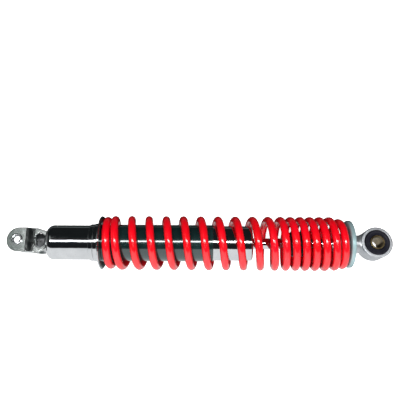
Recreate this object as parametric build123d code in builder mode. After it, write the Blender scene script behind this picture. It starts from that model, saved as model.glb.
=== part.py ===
"""Rear shock absorber of a light motorcycle: a twin tube hydraulic damper with a coil spring around it.

The shock lies along X at full extension. The origin is on the clevis bolt axis, midway between the ears.
+X runs to the eye at the rod end. Z is the axis of the clevis bolt and of the eye bore. Millimetres.
"""

import os
from math import cos, pi, sin

from build123d import *

os.makedirs("parts", exist_ok=True)

# Gaps: between pieces fixed to each other, and between pieces that slide or turn on each other
FIXED_GAP = 0.05
RUNNING_GAP = 0.05

# Ends of the shock
EYE_X = 330.0
EYE_AXIS = Axis((EYE_X, 0, 0), (0, 0, 1))

# Clevis, pressed from one thickness of plate: a wide ear with a tapped collar and a narrower plain one
PLATE = 3.0
EAR_TIP_X = -9.5
EAR_HALF_WIDTH = 11.25
PLAIN_EAR_HALF_WIDTH = 7.6
PLAIN_EAR_END_X = 5.5
PLAIN_CHEEK_HALF_WIDTH = 9.9
EAR_INNER_Z = 10.35
EAR_OUTER_Z = EAR_INNER_Z + PLATE
STEP_START_X = 8.3
STEP_END_X = 14.6
CHEEK_INNER_Z = 7.2
CHEEK_OUTER_Z = CHEEK_INNER_Z + PLATE
STEP_ROUND = 2.5
BRIDGE_X = 13.3
BRIDGE_END_X = BRIDGE_X + PLATE
BRIDGE_HALF_WIDTH = 8.8
CHEEK_CORNER_X = 17.5
CHEEK_END_X = 27.5
CHEEK_END_HALF_WIDTH = 7.9
CHEEK_ROUND = 10.0
WINDOW_X = 19.9
WINDOW_HALF_LENGTH = 5.2
WINDOW_SIDE = 3.6
WINDOW_HALF_WIDTH = 7.2
WINDOW_ROUND = 0.8
TAPPED_RADIUS = 3.4
CLEARANCE_RADIUS = 4.25
COLLAR_RADIUS = 5.3
COLLAR_HEIGHT = 1.5

# Stud and lock nut between clevis and tube
STUD_RADIUS = 4.0
STUD_HEAD_RADIUS = 7.0
STUD_HEAD_X = 29.0
STUD_CHAMFER = 0.6
LOCK_NUT_ACROSS_FLATS = 14.0
LOCK_NUT_END_X = 23.5
NUT_CHAMFER = 1.0
NUT_CORNER = 1.65

# Outer tube of the damper
TUBE_RADIUS = 16.1
TUBE_WALL = 1.95
TUBE_BORE = TUBE_RADIUS - TUBE_WALL
TUBE_START_X = 23.6
TUBE_FLOOR_X = 27.0
TUBE_END_X = 215.6
DOME_ROUND = 8.5
DOME_INNER_ROUND = 6.0
CRIMP_ROUND = 1.4
CRIMP_X = 214.05
CRIMP_RADIUS = 11.6

# Lower spring seat, the ring that stops it, and the plastic sleeve inside the spring
STOP_RING_X = 65.4
STOP_RING_END_X = 69.3
STOP_RING_RADIUS = 17.2
STOP_RING_ROUND = 0.8
LOWER_SEAT_X = 69.4
LOWER_SEAT_HUB_END_X = 74.0
LOWER_SEAT_FLANGE_X = 75.0
LOWER_SEAT_END_X = 76.3
LOWER_SEAT_HUB_RADIUS = 17.8
LOWER_SEAT_RADIUS = 24.9
SLEEVE_FLANGE_END_X = 77.1
SLEEVE_FLANGE_RADIUS = 23.8
SLEEVE_RADIUS = 16.9
SLEEVE_END_X = 179.3
ON_TUBE_RADIUS = TUBE_RADIUS + 0.1

# Spring, wound right-handed, with closed ends and one softer and one stiffer stretch
WIRE_RADIUS = 3.5
COIL_RADIUS = 21.75
LOWER_END_INSET = 1.0
UPPER_END_INSET = 2.0
COILS = 17.5625
SPRING_START_X = SLEEVE_FLANGE_END_X + WIRE_RADIUS + 0.03
CLOSED_PITCH = 7.05
OPEN_PITCH = 16.1
TIGHT_PITCH = 9.0
LAST_PITCH = 4.8
POINTS_PER_TURN = 16

# Piston rod and what is fixed to it
ROD_RADIUS = 5.0
ROD_END_X = 317.5
ROD_SHOULDER_X = 186.5
SPIGOT_RADIUS = 3.5
SPIGOT_X = 165.5
ON_SPIGOT_RADIUS = SPIGOT_RADIUS + FIXED_GAP
ON_ROD_RADIUS = ROD_RADIUS + RUNNING_GAP
ROD_NUT_X = 291.8
ROD_NUT_END_X = 301.6
ROD_NUT_ACROSS_FLATS = 17.0
UPPER_SEAT_X = 303.2
UPPER_SEAT_RIM_X = 307.2
UPPER_SEAT_PLATE = 1.6
UPPER_SEAT_RADIUS = 22.0
WASHER_RADIUS = 10.5

# Bump stop on the rod
BUMP_X = 249.8
BUMP_END_X = 268.5
BUMP_RADIUS = 12.0

# Inner cylinder, its base valve, and the piston
CYLINDER_BORE = 11.0
CYLINDER_RADIUS = 12.0
CYLINDER_X = 36.05
CYLINDER_END_X = 198.0
BASE_VALVE_X = 29.1
BASE_VALVE_RADIUS = 13.9
CHECK_PLATE_X = 40.05
CHECK_PLATE_END_X = 40.45
VALVE_PIN_RADIUS = 2.5
PISTON_X = 172.0
PISTON_END_X = 184.0
PISTON_RADIUS = 10.6
PISTON_RING_X = 176.1
PISTON_RING_END_X = 179.9
PISTON_GROOVE_RADIUS = 9.2
SHIM_RADIUS = 9.0
PISTON_NUT_X = 166.5
PISTON_NUT_ACROSS_FLATS = 11.0
REBOUND_STOP_END_X = 194.2

# Head of the damper: rod guide, seals and cap
GUIDE_X = 194.6
GUIDE_END_X = 207.0
GUIDE_RADIUS = 14.1
GUIDE_GROOVE_RADIUS = 12.4
GUIDE_GROOVE_X = 201.0
GUIDE_GROOVE_END_X = 203.4
O_RING_SECTION_RADIUS = 0.84
SEAL_END_X = 211.5
CAP_END_X = 214.0
CAP_BORE = 7.3
WIPER_END_X = 215.4

# Eye, rubber bush and inner sleeve
NECK_RADIUS = 8.2
NECK_FOOT_RADIUS = 9.6
NECK_FOOT_LENGTH = 2.0
NECK_END_X = 318.0
NECK_BORE_END_X = 317.9
FLANK_X = 315.6
FLANK_HALF_WIDTH = 7.9
FLANK_END_X = 323.0
FLANK_END_HALF_WIDTH = 12.6
FLANK_HALF_THICKNESS = 7.8
FLANK_ROUND = 5.0
EYE_RADIUS = 14.4
EYE_HALF_LENGTH = 9.0
EYE_BORE = 11.65
BUSH_RADIUS = 11.62
BUSH_HALF_LENGTH = 10.2
EYE_SLEEVE_RADIUS = 6.6
EDGE_ROUND = 0.8
BUSH_DISH = 1.2
EYE_SLEEVE_BORE = 5.1
EYE_SLEEVE_HALF_LENGTH = 10.5

# Piston valve: thin shims over rings of oil passages
SHIM = 0.8
PASSAGE_RADIUS = 1.2
PASSAGES = 6
PASSAGE_CIRCLE = 6.4
PISTON_PASSAGE_CIRCLE = 6.6
REBOUND_STOP_RADIUS = 8.0


def outline(plane, *corners):
    """A closed face in a plane through (across, up) corners. A third number rounds that corner."""
    with BuildSketch(plane) as face:
        with BuildLine():
            Polyline(*[corner[:2] for corner in corners], close=True)
        make_face()
        for corner in corners:
            if len(corner) == 3:
                nearest = face.vertices().sort_by_distance((corner[0], corner[1], 0))[0]
                fillet(nearest, corner[2])
    return face.sketch


def smooth_step(turn, start, stop):
    """Rises smoothly from 0 at start to 1 at stop."""
    share = min(max((turn - start) / (stop - start), 0.0), 1.0)
    return share * share * (3.0 - 2.0 * share)


def coil_pitch(turn):
    """Advance per turn: a closed end, an open stretch, then a tight stretch to the other end."""
    pitch = CLOSED_PITCH
    pitch += (OPEN_PITCH - CLOSED_PITCH) * smooth_step(turn, 0.9, 1.35)
    pitch += (TIGHT_PITCH - OPEN_PITCH) * smooth_step(turn, 8.6, 11.85)
    pitch += (LAST_PITCH - TIGHT_PITCH) * smooth_step(turn, 16.7, 17.65)
    return pitch


def coil_radius(turn):
    """Mean radius of the coil, drawn in a little at both ends."""
    radius = COIL_RADIUS
    radius -= LOWER_END_INSET * (1.0 - smooth_step(turn, 0.3, 1.3))
    radius -= UPPER_END_INSET * smooth_step(turn, 16.2, 17.3)
    return radius


# Clevis: two ears that step inward to cheeks on the dome of the tube, joined by a bridge plate
with BuildPart() as clevis:
    for side in (1, -1):
        ear = outline(
            Plane.XZ,
            (EAR_TIP_X, side * EAR_INNER_Z),
            (STEP_START_X, side * EAR_INNER_Z, STEP_ROUND),
            (STEP_END_X, side * CHEEK_INNER_Z, STEP_ROUND),
            (CHEEK_END_X, side * CHEEK_INNER_Z),
            (CHEEK_END_X, side * CHEEK_OUTER_Z),
            (STEP_END_X, side * CHEEK_OUTER_Z, STEP_ROUND),
            (STEP_START_X, side * EAR_OUTER_Z, STEP_ROUND),
            (EAR_TIP_X, side * EAR_OUTER_Z),
        )
        extrude(ear, amount=EAR_HALF_WIDTH, both=True)
    with Locations((BRIDGE_X + PLATE / 2, 0, 0)):
        Box(PLATE, 2 * BRIDGE_HALF_WIDTH, 2 * CHEEK_INNER_Z + 2.0)
    # Each half is trimmed to its outline along the bolt: a round end, then a cheek narrowing to the tube
    wide_outline = outline(
        Plane.XY,
        (EAR_TIP_X, -EAR_HALF_WIDTH, EAR_HALF_WIDTH - 0.05),
        (CHEEK_CORNER_X, -EAR_HALF_WIDTH, CHEEK_ROUND),
        (CHEEK_END_X, -CHEEK_END_HALF_WIDTH),
        (CHEEK_END_X, CHEEK_END_HALF_WIDTH),
        (CHEEK_CORNER_X, EAR_HALF_WIDTH, CHEEK_ROUND),
        (EAR_TIP_X, EAR_HALF_WIDTH, EAR_HALF_WIDTH - 0.05),
    )
    plain_outline = outline(
        Plane.XY,
        (-PLAIN_EAR_HALF_WIDTH, -PLAIN_EAR_HALF_WIDTH, PLAIN_EAR_HALF_WIDTH - 0.05),
        (PLAIN_EAR_END_X, -PLAIN_EAR_HALF_WIDTH, CHEEK_ROUND),
        (CHEEK_CORNER_X, -PLAIN_CHEEK_HALF_WIDTH, CHEEK_ROUND),
        (CHEEK_END_X, -CHEEK_END_HALF_WIDTH),
        (CHEEK_END_X, CHEEK_END_HALF_WIDTH),
        (CHEEK_CORNER_X, PLAIN_CHEEK_HALF_WIDTH, CHEEK_ROUND),
        (PLAIN_EAR_END_X, PLAIN_EAR_HALF_WIDTH, CHEEK_ROUND),
        (-PLAIN_EAR_HALF_WIDTH, PLAIN_EAR_HALF_WIDTH, PLAIN_EAR_HALF_WIDTH - 0.05),
    )
    for side, kept in ((1, wide_outline), (-1, plain_outline)):
        with BuildSketch(Plane.XY):
            Rectangle(4 * CHEEK_END_X, 4 * EAR_HALF_WIDTH)
            add(kept, mode=Mode.SUBTRACT)
        extrude(amount=side * (EAR_OUTER_Z + 1.0), mode=Mode.SUBTRACT)
    # Six-sided window in each cheek, so a spanner reaches the lock nut
    window = outline(
        Plane.XY,
        (WINDOW_X - WINDOW_HALF_LENGTH, -WINDOW_SIDE, WINDOW_ROUND),
        (WINDOW_X, -WINDOW_HALF_WIDTH, WINDOW_ROUND),
        (WINDOW_X + WINDOW_HALF_LENGTH, -WINDOW_SIDE, WINDOW_ROUND),
        (WINDOW_X + WINDOW_HALF_LENGTH, WINDOW_SIDE, WINDOW_ROUND),
        (WINDOW_X, WINDOW_HALF_WIDTH, WINDOW_ROUND),
        (WINDOW_X - WINDOW_HALF_LENGTH, WINDOW_SIDE, WINDOW_ROUND),
    )
    for side in (1, -1):
        extrude(window, amount=side * (EAR_OUTER_Z + 1.0), mode=Mode.SUBTRACT)
    # The dome of the tube sits between the cheeks
    dome_room = outline(
        Plane.XY,
        (TUBE_START_X - FIXED_GAP, 0),
        (TUBE_START_X - FIXED_GAP, TUBE_RADIUS + FIXED_GAP, DOME_ROUND + FIXED_GAP),
        (TUBE_START_X + 2 * DOME_ROUND, TUBE_RADIUS + FIXED_GAP),
        (TUBE_START_X + 2 * DOME_ROUND, 0),
    )
    revolve(dome_room, axis=Axis.X, mode=Mode.SUBTRACT)
    # Raised collar and tapped hole on one ear, plain bolt hole in the other
    with Locations((0, 0, EAR_OUTER_Z + COLLAR_HEIGHT / 2)):
        Cylinder(radius=COLLAR_RADIUS, height=COLLAR_HEIGHT)
    with Locations((0, 0, EAR_OUTER_Z)):
        Cylinder(radius=TAPPED_RADIUS, height=3 * PLATE, mode=Mode.SUBTRACT)
    with Locations((0, 0, -EAR_OUTER_Z)):
        Cylinder(radius=CLEARANCE_RADIUS, height=3 * PLATE, mode=Mode.SUBTRACT)
    with Locations((BRIDGE_X, 0, 0)):
        Cylinder(radius=STUD_RADIUS + FIXED_GAP, height=3 * PLATE, rotation=(0, 90, 0), mode=Mode.SUBTRACT)
clevis.part.label = "clevis"
export_step(clevis.part, "parts/clevis.step")

# Stud through the floor of the tube, with its head inside
with BuildPart() as base_stud:
    stud_section = outline(
        Plane.XY,
        (BRIDGE_X, 0),
        (BRIDGE_X, STUD_RADIUS - STUD_CHAMFER),
        (BRIDGE_X + STUD_CHAMFER, STUD_RADIUS),
        (TUBE_FLOOR_X, STUD_RADIUS),
        (TUBE_FLOOR_X, STUD_HEAD_RADIUS),
        (STUD_HEAD_X, STUD_HEAD_RADIUS, STUD_CHAMFER),
        (STUD_HEAD_X, 0),
    )
    revolve(stud_section, axis=Axis.X)
base_stud.part.label = "base_stud"
export_step(base_stud.part, "parts/base_stud.step")

# Lock nut on the stud, against the bridge plate
with BuildPart() as clevis_lock_nut:
    with BuildSketch(Plane.YZ.offset(BRIDGE_END_X)):
        RegularPolygon(radius=LOCK_NUT_ACROSS_FLATS / 2, side_count=6, major_radius=False)
        Circle(STUD_RADIUS + FIXED_GAP, mode=Mode.SUBTRACT)
    extrude(amount=LOCK_NUT_END_X - BRIDGE_END_X)
    lock_nut_turned = outline(
        Plane.XY,
        (BRIDGE_END_X, 0),
        (BRIDGE_END_X, LOCK_NUT_ACROSS_FLATS / 2),
        (BRIDGE_END_X + NUT_CHAMFER, LOCK_NUT_ACROSS_FLATS / 2 + NUT_CORNER),
        (LOCK_NUT_END_X - NUT_CHAMFER, LOCK_NUT_ACROSS_FLATS / 2 + NUT_CORNER),
        (LOCK_NUT_END_X, LOCK_NUT_ACROSS_FLATS / 2),
        (LOCK_NUT_END_X, 0),
    )
    revolve(lock_nut_turned, axis=Axis.X, mode=Mode.INTERSECT)
clevis_lock_nut.part.label = "clevis_lock_nut"
export_step(clevis_lock_nut.part, "parts/clevis_lock_nut.step")

# Outer tube: domed floor at the clevis, rolled over at the rod end
with BuildPart() as damper_tube:
    tube_section = outline(
        Plane.XY,
        (TUBE_START_X, STUD_RADIUS + FIXED_GAP),
        (TUBE_START_X, TUBE_RADIUS, DOME_ROUND),
        (TUBE_END_X, TUBE_RADIUS, CRIMP_ROUND),
        (TUBE_END_X, CRIMP_RADIUS),
        (CRIMP_X, CRIMP_RADIUS),
        (CRIMP_X, TUBE_BORE),
        (TUBE_FLOOR_X, TUBE_BORE, DOME_INNER_ROUND),
        (TUBE_FLOOR_X, STUD_RADIUS + FIXED_GAP),
    )
    revolve(tube_section, axis=Axis.X)
damper_tube.part.label = "damper_tube"
export_step(damper_tube.part, "parts/damper_tube.step")

# Ring on the tube that takes the load of the spring seat
with BuildPart() as seat_stop_ring:
    ring_section = outline(
        Plane.XY,
        (STOP_RING_X, ON_TUBE_RADIUS),
        (STOP_RING_X, STOP_RING_RADIUS, STOP_RING_ROUND),
        (STOP_RING_END_X, STOP_RING_RADIUS, STOP_RING_ROUND),
        (STOP_RING_END_X, ON_TUBE_RADIUS),
    )
    revolve(ring_section, axis=Axis.X)
seat_stop_ring.part.label = "seat_stop_ring"
export_step(seat_stop_ring.part, "parts/seat_stop_ring.step")

# Lower spring seat: a hub with a dished flange
with BuildPart() as lower_spring_seat:
    lower_seat_section = outline(
        Plane.XY,
        (LOWER_SEAT_X, ON_TUBE_RADIUS),
        (LOWER_SEAT_X, LOWER_SEAT_HUB_RADIUS, 1.5),
        (LOWER_SEAT_HUB_END_X, LOWER_SEAT_HUB_RADIUS, 1.0),
        (LOWER_SEAT_FLANGE_X, LOWER_SEAT_RADIUS, EDGE_ROUND),
        (LOWER_SEAT_END_X, LOWER_SEAT_RADIUS, 0.4),
        (LOWER_SEAT_END_X, ON_TUBE_RADIUS),
    )
    revolve(lower_seat_section, axis=Axis.X)
lower_spring_seat.part.label = "lower_spring_seat"
export_step(lower_spring_seat.part, "parts/lower_spring_seat.step")

# Plastic sleeve that keeps the coils off the tube, with a flange under the first coil
with BuildPart() as spring_sleeve:
    sleeve_section = outline(
        Plane.XY,
        (LOWER_SEAT_END_X, ON_TUBE_RADIUS),
        (LOWER_SEAT_END_X, SLEEVE_FLANGE_RADIUS, 0.3),
        (SLEEVE_FLANGE_END_X, SLEEVE_FLANGE_RADIUS, 0.3),
        (SLEEVE_FLANGE_END_X, SLEEVE_RADIUS, 0.3),
        (SLEEVE_END_X, SLEEVE_RADIUS, 0.4),
        (SLEEVE_END_X, ON_TUBE_RADIUS),
    )
    revolve(sleeve_section, axis=Axis.X)
spring_sleeve.part.label = "spring_sleeve"
export_step(spring_sleeve.part, "parts/spring_sleeve.step")

# Spring: round wire swept along its centre line
coil_points = []
coil_x = SPRING_START_X
for step in range(round(COILS * POINTS_PER_TURN) + 1):
    turn = step / POINTS_PER_TURN
    angle = 2 * pi * turn
    coil_points.append((coil_x, coil_radius(turn) * cos(angle), coil_radius(turn) * sin(angle)))
    coil_x += coil_pitch(turn + 0.5 / POINTS_PER_TURN) / POINTS_PER_TURN
with BuildPart() as spring:
    with BuildLine() as centre_line:
        Spline(*coil_points)
    with BuildSketch(Plane(centre_line.line @ 0, z_dir=centre_line.line % 0)):
        Circle(WIRE_RADIUS)
    sweep(path=centre_line.line, is_frenet=True)
spring.part.label = "spring"
export_step(spring.part, "parts/spring.step")

# Piston rod: spigot for the piston, ground rod, thread in the eye
with BuildPart() as piston_rod:
    rod_section = outline(
        Plane.XY,
        (SPIGOT_X, 0),
        (SPIGOT_X, SPIGOT_RADIUS, 0.6),
        (ROD_SHOULDER_X, SPIGOT_RADIUS),
        (ROD_SHOULDER_X, ROD_RADIUS),
        (ROD_END_X, ROD_RADIUS, EDGE_ROUND),
        (ROD_END_X, 0),
    )
    revolve(rod_section, axis=Axis.X)
piston_rod.part.label = "piston_rod"
export_step(piston_rod.part, "parts/piston_rod.step")

# Bump stop: a rubber block with a waist, a sliding fit on the rod
with BuildPart() as bump_stop:
    bump_section = outline(
        Plane.XY,
        (BUMP_X, ON_ROD_RADIUS),
        (BUMP_X, BUMP_RADIUS - 2.5, 1.0),
        (BUMP_X + 3.4, BUMP_RADIUS, 1.5),
        (BUMP_X + 8.2, BUMP_RADIUS, 0.8),
        (BUMP_X + 9.8, BUMP_RADIUS - 1.8, 0.8),
        (BUMP_X + 11.4, BUMP_RADIUS, 0.8),
        (BUMP_END_X, BUMP_RADIUS, 1.6),
        (BUMP_END_X, ON_ROD_RADIUS),
    )
    revolve(bump_section, axis=Axis.X)
bump_stop.part.label = "bump_stop"
export_step(bump_stop.part, "parts/bump_stop.step")

# Lock nut that clamps the upper seat against the neck of the eye
with BuildPart() as rod_lock_nut:
    with BuildSketch(Plane.YZ.offset(ROD_NUT_X)):
        RegularPolygon(radius=ROD_NUT_ACROSS_FLATS / 2, side_count=6, major_radius=False)
        Circle(ROD_RADIUS + FIXED_GAP, mode=Mode.SUBTRACT)
    extrude(amount=ROD_NUT_END_X - ROD_NUT_X)
    rod_nut_turned = outline(
        Plane.XY,
        (ROD_NUT_X, 0),
        (ROD_NUT_X, ROD_NUT_ACROSS_FLATS / 2),
        (ROD_NUT_X + NUT_CHAMFER, ROD_NUT_ACROSS_FLATS / 2 + NUT_CORNER),
        (ROD_NUT_END_X - NUT_CHAMFER, ROD_NUT_ACROSS_FLATS / 2 + NUT_CORNER),
        (ROD_NUT_END_X, ROD_NUT_ACROSS_FLATS / 2),
        (ROD_NUT_END_X, 0),
    )
    revolve(rod_nut_turned, axis=Axis.X, mode=Mode.INTERSECT)
rod_lock_nut.part.label = "rod_lock_nut"
export_step(rod_lock_nut.part, "parts/rod_lock_nut.step")

# Washer between that nut and the seat
with BuildPart() as seat_washer:
    with BuildSketch(Plane.YZ.offset(ROD_NUT_END_X)):
        Circle(WASHER_RADIUS)
        Circle(ROD_RADIUS + 0.2, mode=Mode.SUBTRACT)
    extrude(amount=UPPER_SEAT_X - ROD_NUT_END_X)
seat_washer.part.label = "seat_washer"
export_step(seat_washer.part, "parts/seat_washer.step")

# Upper spring seat: a pressed cup with its rim turned away from the spring
with BuildPart() as upper_spring_seat:
    upper_seat_section = outline(
        Plane.XY,
        (UPPER_SEAT_X, ROD_RADIUS + 0.1),
        (UPPER_SEAT_X, UPPER_SEAT_RADIUS, 1.6),
        (UPPER_SEAT_RIM_X, UPPER_SEAT_RADIUS),
        (UPPER_SEAT_RIM_X, UPPER_SEAT_RADIUS - UPPER_SEAT_PLATE),
        (UPPER_SEAT_X + UPPER_SEAT_PLATE, UPPER_SEAT_RADIUS - UPPER_SEAT_PLATE, 0.5),
        (UPPER_SEAT_X + UPPER_SEAT_PLATE, ROD_RADIUS + 0.1),
    )
    revolve(upper_seat_section, axis=Axis.X)
upper_spring_seat.part.label = "upper_spring_seat"
export_step(upper_spring_seat.part, "parts/upper_spring_seat.step")

# Eye: a barrel on a threaded neck, with flanks that run from neck to barrel
with BuildPart() as eye:
    barrel_section = outline(
        Plane.XZ,
        (EYE_X, -EYE_HALF_LENGTH),
        (EYE_X + EYE_RADIUS, -EYE_HALF_LENGTH, EDGE_ROUND),
        (EYE_X + EYE_RADIUS, EYE_HALF_LENGTH, EDGE_ROUND),
        (EYE_X, EYE_HALF_LENGTH),
    )
    revolve(barrel_section, axis=EYE_AXIS)
    neck_section = outline(
        Plane.XY,
        (UPPER_SEAT_X + UPPER_SEAT_PLATE, 0),
        (UPPER_SEAT_X + UPPER_SEAT_PLATE, NECK_FOOT_RADIUS, 0.5),
        (UPPER_SEAT_X + UPPER_SEAT_PLATE + NECK_FOOT_LENGTH, NECK_RADIUS, EDGE_ROUND),
        (NECK_END_X, NECK_RADIUS),
        (NECK_END_X, 0),
    )
    revolve(neck_section, axis=Axis.X)
    flanks = outline(
        Plane.XY,
        (FLANK_X, -FLANK_HALF_WIDTH, FLANK_ROUND),
        (FLANK_END_X, -FLANK_END_HALF_WIDTH),
        (FLANK_END_X, FLANK_END_HALF_WIDTH),
        (FLANK_X, FLANK_HALF_WIDTH, FLANK_ROUND),
    )
    extrude(flanks, amount=FLANK_HALF_THICKNESS, both=True)
    with Locations((EYE_X, 0, 0)):
        Cylinder(radius=EYE_BORE, height=3 * EYE_HALF_LENGTH, mode=Mode.SUBTRACT)
    thread_room = outline(
        Plane.XY,
        (UPPER_SEAT_X, 0),
        (UPPER_SEAT_X, ROD_RADIUS + FIXED_GAP),
        (NECK_BORE_END_X, ROD_RADIUS + FIXED_GAP),
        (NECK_BORE_END_X, 0),
    )
    revolve(thread_room, axis=Axis.X, mode=Mode.SUBTRACT)
eye.part.label = "eye"
export_step(eye.part, "parts/eye.step")

# Rubber bush in the eye, swelling a little past both faces
with BuildPart() as eye_rubber_bush:
    bush_section = outline(
        Plane.XZ,
        (EYE_X + EYE_SLEEVE_RADIUS + RUNNING_GAP, -BUSH_HALF_LENGTH + 0.7),
        (EYE_X + EYE_SLEEVE_RADIUS + BUSH_DISH, -BUSH_HALF_LENGTH, 0.5),
        (EYE_X + BUSH_RADIUS - BUSH_DISH, -BUSH_HALF_LENGTH, 0.6),
        (EYE_X + BUSH_RADIUS, -EYE_HALF_LENGTH),
        (EYE_X + BUSH_RADIUS, EYE_HALF_LENGTH),
        (EYE_X + BUSH_RADIUS - BUSH_DISH, BUSH_HALF_LENGTH, 0.6),
        (EYE_X + EYE_SLEEVE_RADIUS + BUSH_DISH, BUSH_HALF_LENGTH, 0.5),
        (EYE_X + EYE_SLEEVE_RADIUS + RUNNING_GAP, BUSH_HALF_LENGTH - 0.7),
    )
    revolve(bush_section, axis=EYE_AXIS)
eye_rubber_bush.part.label = "eye_rubber_bush"
export_step(eye_rubber_bush.part, "parts/eye_rubber_bush.step")

# Steel sleeve in the bush, through which the upper bolt goes
with BuildPart() as eye_sleeve:
    eye_sleeve_section = outline(
        Plane.XZ,
        (EYE_X + EYE_SLEEVE_BORE, -EYE_SLEEVE_HALF_LENGTH),
        (EYE_X + EYE_SLEEVE_RADIUS, -EYE_SLEEVE_HALF_LENGTH, 0.4),
        (EYE_X + EYE_SLEEVE_RADIUS, EYE_SLEEVE_HALF_LENGTH, 0.4),
        (EYE_X + EYE_SLEEVE_BORE, EYE_SLEEVE_HALF_LENGTH),
    )
    revolve(eye_sleeve_section, axis=EYE_AXIS)
eye_sleeve.part.label = "eye_sleeve"
export_step(eye_sleeve.part, "parts/eye_sleeve.step")

# Inner cylinder that the piston works in
with BuildPart() as inner_cylinder:
    with BuildSketch(Plane.YZ.offset(CYLINDER_X)):
        Circle(CYLINDER_RADIUS)
        Circle(CYLINDER_BORE, mode=Mode.SUBTRACT)
    extrude(amount=CYLINDER_END_X - CYLINDER_X)
inner_cylinder.part.label = "inner_cylinder"
export_step(inner_cylinder.part, "parts/inner_cylinder.step")

# Base valve body, seated in the floor of the tube and in the end of the inner cylinder
with BuildPart() as base_valve:
    base_valve_section = outline(
        Plane.XY,
        (BASE_VALVE_X, 0),
        (BASE_VALVE_X, 9.0),
        (BASE_VALVE_X + 4.4, BASE_VALVE_RADIUS),
        (CYLINDER_X - FIXED_GAP, BASE_VALVE_RADIUS),
        (CYLINDER_X - FIXED_GAP, CYLINDER_BORE - FIXED_GAP),
        (CHECK_PLATE_X - FIXED_GAP, CYLINDER_BORE - FIXED_GAP, 0.4),
        (CHECK_PLATE_X - FIXED_GAP, 0),
    )
    revolve(base_valve_section, axis=Axis.X)
    with BuildSketch(Plane.YZ.offset(BASE_VALVE_X)):
        Circle(VALVE_PIN_RADIUS + FIXED_GAP)
        with PolarLocations(PASSAGE_CIRCLE, PASSAGES):
            Circle(PASSAGE_RADIUS)
    extrude(amount=CHECK_PLATE_X - BASE_VALVE_X, mode=Mode.SUBTRACT)
base_valve.part.label = "base_valve"
export_step(base_valve.part, "parts/base_valve.step")

# Check plate over the passages of the base valve
with BuildPart() as base_check_plate:
    with BuildSketch(Plane.YZ.offset(CHECK_PLATE_X)):
        Circle(SHIM_RADIUS)
        Circle(VALVE_PIN_RADIUS + FIXED_GAP, mode=Mode.SUBTRACT)
    extrude(amount=CHECK_PLATE_END_X - CHECK_PLATE_X)
base_check_plate.part.label = "base_check_plate"
export_step(base_check_plate.part, "parts/base_check_plate.step")

# Rivet that holds the check plate to the base valve
with BuildPart() as base_valve_pin:
    pin_section = outline(
        Plane.XY,
        (BASE_VALVE_X + 0.5, 0),
        (BASE_VALVE_X + 0.5, VALVE_PIN_RADIUS),
        (CHECK_PLATE_END_X + FIXED_GAP, VALVE_PIN_RADIUS),
        (CHECK_PLATE_END_X + FIXED_GAP, VALVE_PIN_RADIUS + 1.8),
        (CHECK_PLATE_END_X + 1.6, VALVE_PIN_RADIUS + 1.8, 0.5),
        (CHECK_PLATE_END_X + 1.6, 0),
    )
    revolve(pin_section, axis=Axis.X)
base_valve_pin.part.label = "base_valve_pin"
export_step(base_valve_pin.part, "parts/base_valve_pin.step")

# Piston, with oil passages and a groove for its ring
with BuildPart() as piston:
    piston_section = outline(
        Plane.XY,
        (PISTON_X, ON_SPIGOT_RADIUS),
        (PISTON_X, PISTON_RADIUS, 0.5),
        (PISTON_RING_X - 0.1, PISTON_RADIUS),
        (PISTON_RING_X - 0.1, PISTON_GROOVE_RADIUS),
        (PISTON_RING_END_X + 0.1, PISTON_GROOVE_RADIUS),
        (PISTON_RING_END_X + 0.1, PISTON_RADIUS),
        (PISTON_END_X, PISTON_RADIUS, 0.5),
        (PISTON_END_X, ON_SPIGOT_RADIUS),
    )
    revolve(piston_section, axis=Axis.X)
    with BuildSketch(Plane.YZ.offset(PISTON_X)):
        with PolarLocations(PISTON_PASSAGE_CIRCLE, PASSAGES):
            Circle(PASSAGE_RADIUS)
    extrude(amount=PISTON_END_X - PISTON_X, mode=Mode.SUBTRACT)
piston.part.label = "piston"
export_step(piston.part, "parts/piston.step")

# Piston ring, a running fit in the inner cylinder
with BuildPart() as piston_ring:
    with BuildSketch(Plane.YZ.offset(PISTON_RING_X)):
        Circle(CYLINDER_BORE - RUNNING_GAP)
        Circle(PISTON_GROOVE_RADIUS + FIXED_GAP, mode=Mode.SUBTRACT)
    extrude(amount=PISTON_RING_END_X - PISTON_RING_X)
piston_ring.part.label = "piston_ring"
export_step(piston_ring.part, "parts/piston_ring.step")

# Valve shim on each face of the piston
with BuildPart() as compression_shim:
    with BuildSketch(Plane.YZ.offset(PISTON_X - SHIM)):
        Circle(SHIM_RADIUS)
        Circle(ON_SPIGOT_RADIUS, mode=Mode.SUBTRACT)
    extrude(amount=SHIM)
compression_shim.part.label = "compression_shim"
export_step(compression_shim.part, "parts/compression_shim.step")

with BuildPart() as rebound_shim:
    with BuildSketch(Plane.YZ.offset(PISTON_END_X)):
        Circle(SHIM_RADIUS)
        Circle(ON_SPIGOT_RADIUS, mode=Mode.SUBTRACT)
    extrude(amount=SHIM)
rebound_shim.part.label = "rebound_shim"
export_step(rebound_shim.part, "parts/rebound_shim.step")

# Backing washer between the shim and the shoulder of the rod
with BuildPart() as backing_washer:
    with BuildSketch(Plane.YZ.offset(PISTON_END_X + SHIM)):
        Circle(SHIM_RADIUS - 2.5)
        Circle(ON_SPIGOT_RADIUS, mode=Mode.SUBTRACT)
    extrude(amount=ROD_SHOULDER_X - PISTON_END_X - SHIM)
backing_washer.part.label = "backing_washer"
export_step(backing_washer.part, "parts/backing_washer.step")

# Nut that holds the piston on the spigot
with BuildPart() as piston_nut:
    with BuildSketch(Plane.YZ.offset(PISTON_NUT_X)):
        RegularPolygon(radius=PISTON_NUT_ACROSS_FLATS / 2, side_count=6, major_radius=False)
        Circle(ON_SPIGOT_RADIUS, mode=Mode.SUBTRACT)
    extrude(amount=PISTON_X - SHIM - PISTON_NUT_X)
piston_nut.part.label = "piston_nut"
export_step(piston_nut.part, "parts/piston_nut.step")

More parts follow.
